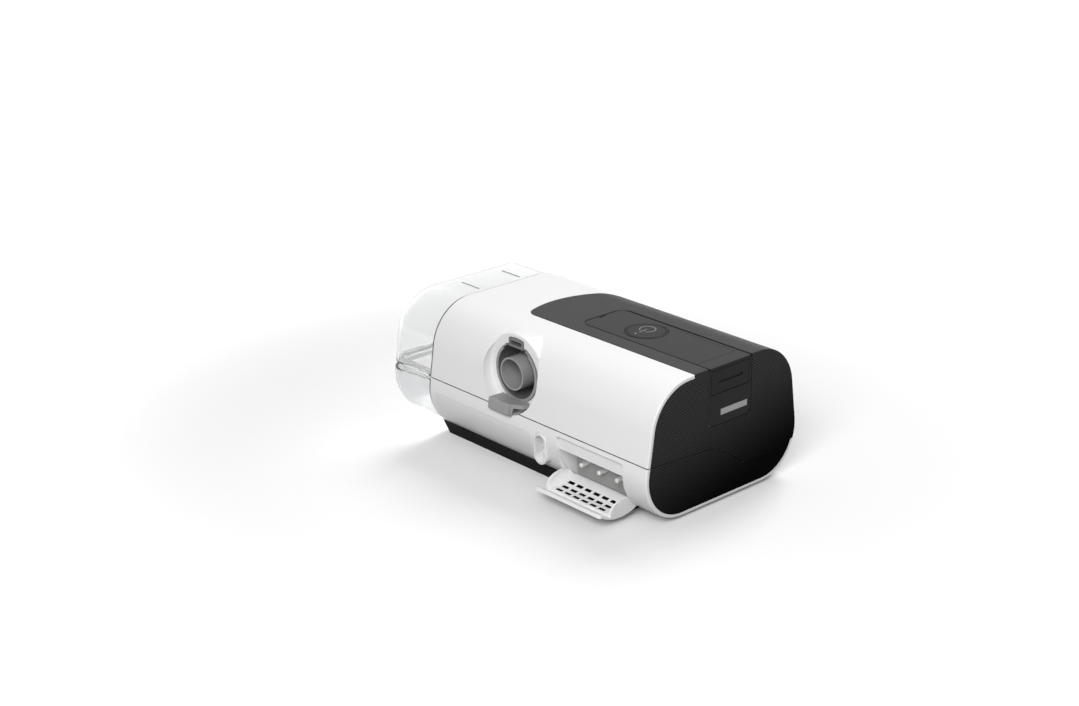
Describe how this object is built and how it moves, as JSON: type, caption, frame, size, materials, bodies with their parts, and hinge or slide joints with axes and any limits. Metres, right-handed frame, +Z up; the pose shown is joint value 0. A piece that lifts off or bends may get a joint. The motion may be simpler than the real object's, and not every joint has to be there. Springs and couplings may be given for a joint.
{
  "type": "cpap machine",
  "caption": "Bedside breathing machine with a clear slide-out water tub, top button and display, grey hose outlet, oblong power socket and an open flap over the air filter.",
  "frame": {"origin": "centre of the face that the machine stands on, below the middle of its length and width", "axes": "+X towards the water tub, +Y towards the side with the air outlet, +Z up"},
  "size_m": [0.2594, 0.1581, 0.0945],
  "materials": {
    "case_white": "fine matt moulding",
    "fascia_grey": "fine-textured dark grey",
    "end_black": "nearly black, finely ribbed",
    "panel_black": "smooth satin over the display",
    "outlet_grey": "satin mid grey",
    "base_black": "matt black",
    "clear_plastic": "clear, polished",
    "seal_grey": "soft silicone",
    "rubber_black": "matt",
    "filter_fibre": "white fibre",
    "foam_grey": "open foam",
    "inner_black": "moulded inner part",
    "inner_grey": "moulded inner part",
    "board_green": "circuit board",
    "chip_black": "packages",
    "steel_plate": "brushed",
    "steel_bright": "ground",
    "contact_metal": "plated",
    "alu_plate": "satin"
  },
  "bodies": {
    "housing": {"upper_shell": "case_white", "lower_case": "case_white", "top_fascia": "fascia_grey", "lower_end_panel": "end_black", "touch_panel": "panel_black", "end_plate": "end_black", "memory_card": "chip_black", "card_socket": "steel_plate", "base_plinth": "base_black", "rubber_feet": "rubber_black", "case_screws": "steel_bright", "button_switch": "chip_black", "display_module": "panel_black", "display_bracket": "inner_grey", "main_board": "board_green", "board_parts": "chip_black", "power_board": "board_green", "power_parts": "chip_black", "power_inlet": "case_white", "inlet_contacts": "contact_metal", "filter_tray": "case_white", "air_filter": "filter_fibre", "outlet_elbow": "inner_grey", "chassis": "inner_grey", "muffler_foam": "foam_grey", "blower_mount": "seal_grey", "volute_lower": "inner_black", "volute_upper": "inner_black", "motor_stator": "steel_plate", "motor_bearings": "steel_bright", "motor_cap": "inner_black", "blower_duct": "seal_grey", "flow_sensor": "chip_black", "bay_partition": "inner_grey", "port_seals": "seal_grey", "heater_base": "inner_black", "heater_plate": "alu_plate"},
    "start_button": {"start_button": "fascia_grey"},
    "card_door": {"card_door": "end_black"},
    "filter_cover": {"filter_cover": "case_white"},
    "tub": {"water_tub": "clear_plastic", "tub_heat_plate": "steel_plate", "tub_lid": "clear_plastic", "tub_seal": "seal_grey", "air_spouts": "clear_plastic"},
    "outlet_connector": {"outlet_connector": "outlet_grey"},
    "fan_rotor": {"impeller": "inner_black", "rotor_shaft": "steel_bright", "rotor_magnet": "steel_plate"}
  },
  "joints": [
    {"name": "button_press", "type": "slide", "parent": "housing", "child": "start_button", "axis": [0, 0, -1], "range_m": [0, 0.001], "stiffness_N_per_m": 800, "springref_m": -0.0005},
    {"name": "card_door_hinge", "type": "hinge", "parent": "housing", "child": "card_door", "pos_m": [-0.1289, -0.00465, 0.0766], "axis": [0, -1, 0], "range_deg": [0, 100]},
    {"name": "filter_cover_hinge", "type": "hinge", "parent": "housing", "child": "filter_cover", "pos_m": [-0.0795, 0.0555, 0.0095], "axis": [1, 0, 0], "range_deg": [0, 65]},
    {"name": "tub_slide", "type": "slide", "parent": "housing", "child": "tub", "axis": [1, 0, 0], "range_m": [0, 0.12]},
    {"name": "outlet_pull", "type": "slide", "parent": "housing", "child": "outlet_connector", "axis": [0, 1, 0], "range_m": [0, 0.045]},
    {"name": "fan_spin", "type": "hinge", "parent": "housing", "child": "fan_rotor", "pos_m": [-0.072, -0.009, 0.054], "axis": [0, 0, 1], "continuous": true}
  ]
}
